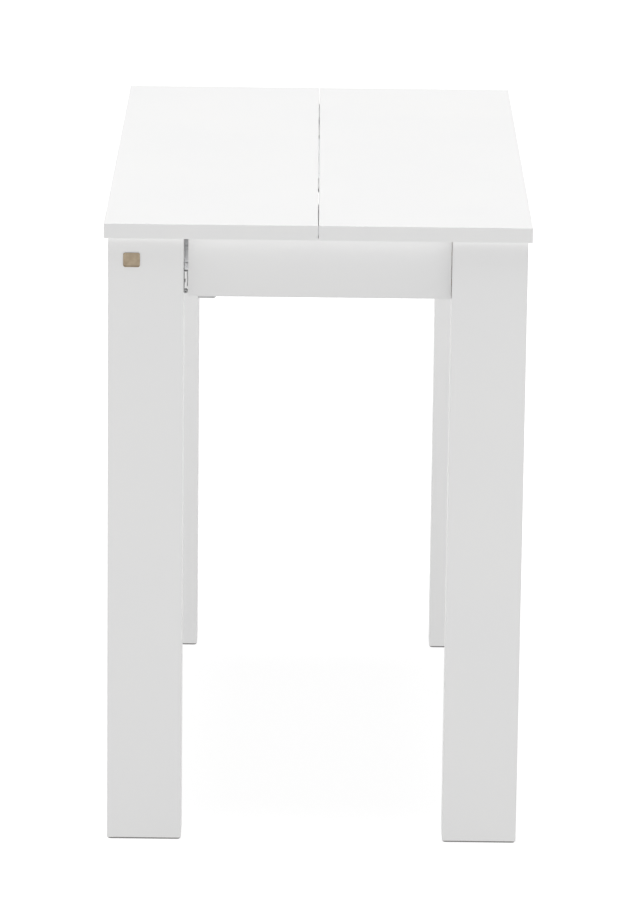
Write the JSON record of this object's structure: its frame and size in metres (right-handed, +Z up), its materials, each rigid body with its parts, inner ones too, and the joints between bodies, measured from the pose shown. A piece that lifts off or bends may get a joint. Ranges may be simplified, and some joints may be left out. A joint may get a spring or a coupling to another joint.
{
  "type": "extending console table",
  "caption": "White extending console table: half tops on legs that slide apart along a lengthwise seam on nested aluminium runners, with short aprons between the legs.",
  "frame": {"origin": "on the floor under the middle of the closed table", "axes": "+Z up; +Y along the seam, away from the front legs with the badge plate; +X to the right, across the seam. The left half (-X) slides towards -X."},
  "size_m": [0.51, 0.9, 0.77],
  "materials": {
    "board_white": "white melamine foil, satin",
    "runner_alloy": "mill-finish extrusion",
    "hardware_steel": "zinc plated",
    "pad_grey": "matte",
    "nylon_dark": "matte nylon",
    "plastic_white": "satin",
    "dowel_beech": "raw beech",
    "badge_bronze": "brushed bronze plate"
  },
  "bodies": {
    "right_half": {"top_right": "board_white", "leg_front_right": "board_white", "leg_back_right": "board_white", "foot_front_right": "pad_grey", "foot_back_right": "pad_grey", "long_rail_right": "board_white", "apron_front": "board_white", "apron_back": "board_white", "apron_stay_front": "hardware_steel", "apron_stay_back": "hardware_steel", "apron_brackets": "hardware_steel", "leg_brackets_right": "hardware_steel", "cam_locks_right": "hardware_steel", "cam_bolts_right": "hardware_steel", "dowels_right": "dowel_beech", "bracket_screws_right": "hardware_steel", "stay_screws": "hardware_steel", "tongue_front": "plastic_white", "tongue_back": "plastic_white", "runner_front_1": "runner_alloy", "runner_back_1": "runner_alloy", "hangers_right": "hardware_steel", "hanger_screws_right": "hardware_steel", "stops_right": "nylon_dark"},
    "front_runner_2": {"runner_front_2": "runner_alloy", "glide_set_front_2": "nylon_dark"},
    "front_runner_3": {"runner_front_3": "runner_alloy", "glide_set_front_3": "nylon_dark"},
    "front_runner_4": {"runner_front_4": "runner_alloy", "glide_set_front_4": "nylon_dark"},
    "back_runner_2": {"runner_back_2": "runner_alloy", "glide_set_back_2": "nylon_dark"},
    "back_runner_3": {"runner_back_3": "runner_alloy", "glide_set_back_3": "nylon_dark"},
    "back_runner_4": {"runner_back_4": "runner_alloy", "glide_set_back_4": "nylon_dark"},
    "left_half": {"top_left": "board_white", "leg_front_left": "board_white", "leg_back_left": "board_white", "foot_front_left": "pad_grey", "foot_back_left": "pad_grey", "long_rail_left": "board_white", "leg_brackets_left": "hardware_steel", "cam_locks_left": "hardware_steel", "cam_bolts_left": "hardware_steel", "dowels_left": "dowel_beech", "bracket_screws_left": "hardware_steel", "runner_front_5": "runner_alloy", "runner_back_5": "runner_alloy", "glides_left": "nylon_dark", "hangers_left": "hardware_steel", "hanger_screws_left": "hardware_steel", "gap_clip_front": "hardware_steel", "gap_clip_back": "hardware_steel", "clip_screws": "hardware_steel", "badge_plate": "badge_bronze"}
  },
  "joints": [
    {"name": "table_extend", "type": "slide", "parent": "right_half", "child": "left_half", "axis": [-1, 0, 0], "range_m": [0, 1.2]},
    {"name": "front_runner_2_slide", "type": "slide", "parent": "right_half", "child": "front_runner_2", "axis": [-1, 0, 0], "range_m": [0, 0.3]},
    {"name": "front_runner_3_slide", "type": "slide", "parent": "front_runner_2", "child": "front_runner_3", "axis": [-1, 0, 0], "range_m": [0, 0.3]},
    {"name": "front_runner_4_slide", "type": "slide", "parent": "front_runner_3", "child": "front_runner_4", "axis": [-1, 0, 0], "range_m": [0, 0.3]},
    {"name": "back_runner_2_slide", "type": "slide", "parent": "right_half", "child": "back_runner_2", "axis": [-1, 0, 0], "range_m": [0, 0.3]},
    {"name": "back_runner_3_slide", "type": "slide", "parent": "back_runner_2", "child": "back_runner_3", "axis": [-1, 0, 0], "range_m": [0, 0.3]},
    {"name": "back_runner_4_slide", "type": "slide", "parent": "back_runner_3", "child": "back_runner_4", "axis": [-1, 0, 0], "range_m": [0, 0.3]}
  ],
  "couplings": [
    {"joint": "front_runner_2_slide", "follows": "table_extend", "ratio": 0.25},
    {"joint": "front_runner_3_slide", "follows": "table_extend", "ratio": 0.25},
    {"joint": "front_runner_4_slide", "follows": "table_extend", "ratio": 0.25},
    {"joint": "back_runner_2_slide", "follows": "table_extend", "ratio": 0.25},
    {"joint": "back_runner_3_slide", "follows": "table_extend", "ratio": 0.25},
    {"joint": "back_runner_4_slide", "follows": "table_extend", "ratio": 0.25}
  ]
}
